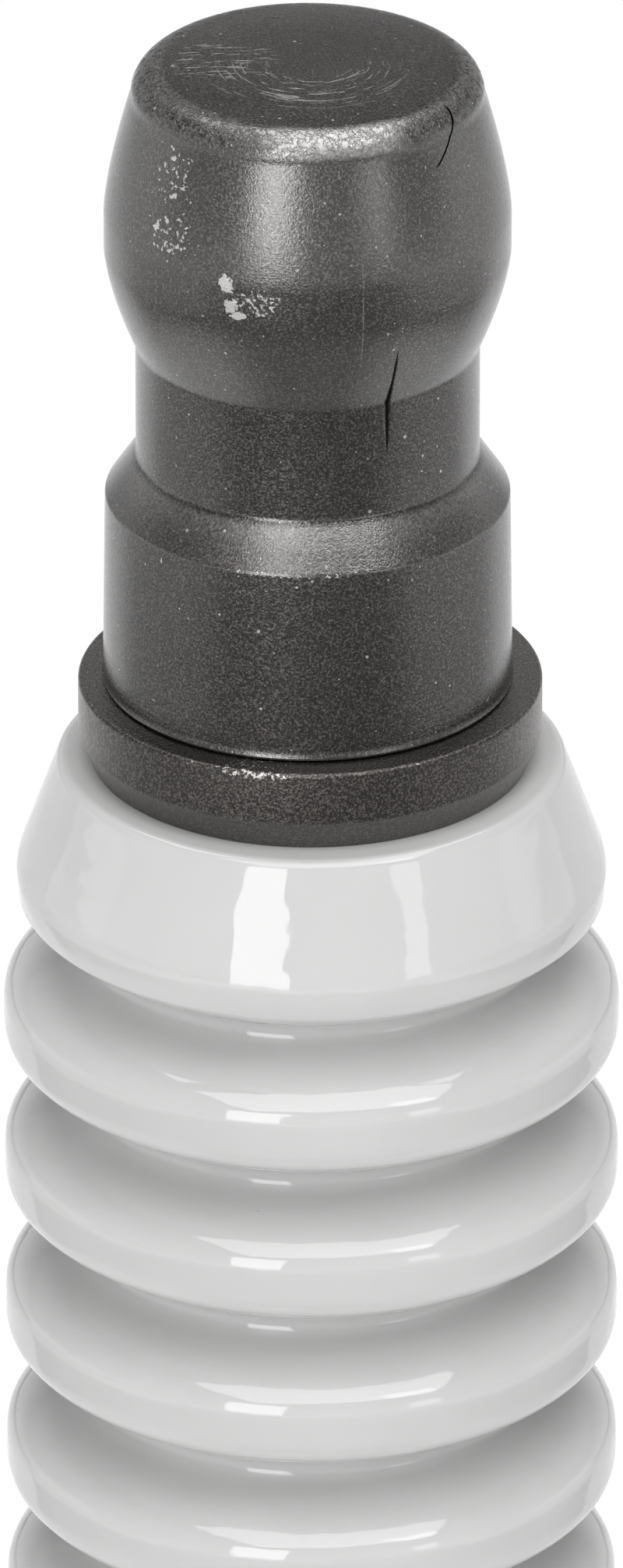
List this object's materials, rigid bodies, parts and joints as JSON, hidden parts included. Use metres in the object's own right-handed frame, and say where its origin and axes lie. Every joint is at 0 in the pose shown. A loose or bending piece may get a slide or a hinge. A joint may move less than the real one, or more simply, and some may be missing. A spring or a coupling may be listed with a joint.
{
  "type": "spark plug",
  "caption": "Motorcycle spark plug with a ribbed ceramic insulator, screw-on terminal nut, hexagon shell, threaded reach and captive gasket.",
  "frame": {"origin": "centre of the gasket's lower face, which seals on the engine's cylinder head", "axes": "+Z along the plug's axis towards the terminal; +X square to one flat of the hexagon; the ground electrode is welded on the -X side"},
  "size_m": [0.016, 0.0184, 0.0742],
  "materials": {
    "terminal_plating": "satin",
    "stud_plating": "satin",
    "glazed_alumina": "gloss",
    "conductive_glass": "satin",
    "resistor_carbon": "matte",
    "nickel_alloy": "satin",
    "copper": "satin",
    "shell_plating": "satin",
    "packing_steel": "satin",
    "talc": "matte",
    "gasket_steel": "satin"
  },
  "bodies": {
    "plug": {"terminal_stud": "stud_plating", "insulator": "glazed_alumina", "upper_glass_seal": "conductive_glass", "resistor": "resistor_carbon", "lower_glass_seal": "conductive_glass", "center_electrode": "nickel_alloy", "center_electrode_core": "copper", "shell": "shell_plating", "seat_packing_washer": "packing_steel", "lower_packing_ring": "packing_steel", "talc_seal": "talc", "upper_packing_ring": "packing_steel", "ground_electrode": "nickel_alloy"},
    "terminal_nut": {"terminal_nut": "terminal_plating"},
    "gasket": {"gasket": "gasket_steel"}
  },
  "joints": [
    {"name": "nut_unscrew", "type": "slide", "parent": "plug", "child": "terminal_nut", "axis": [0, 0, 1], "range_m": [0, 0.0095]},
    {"name": "gasket_spin", "type": "hinge", "parent": "plug", "child": "gasket", "pos_m": [0, 0, 0.00075], "axis": [0, 0, 1], "continuous": true}
  ]
}
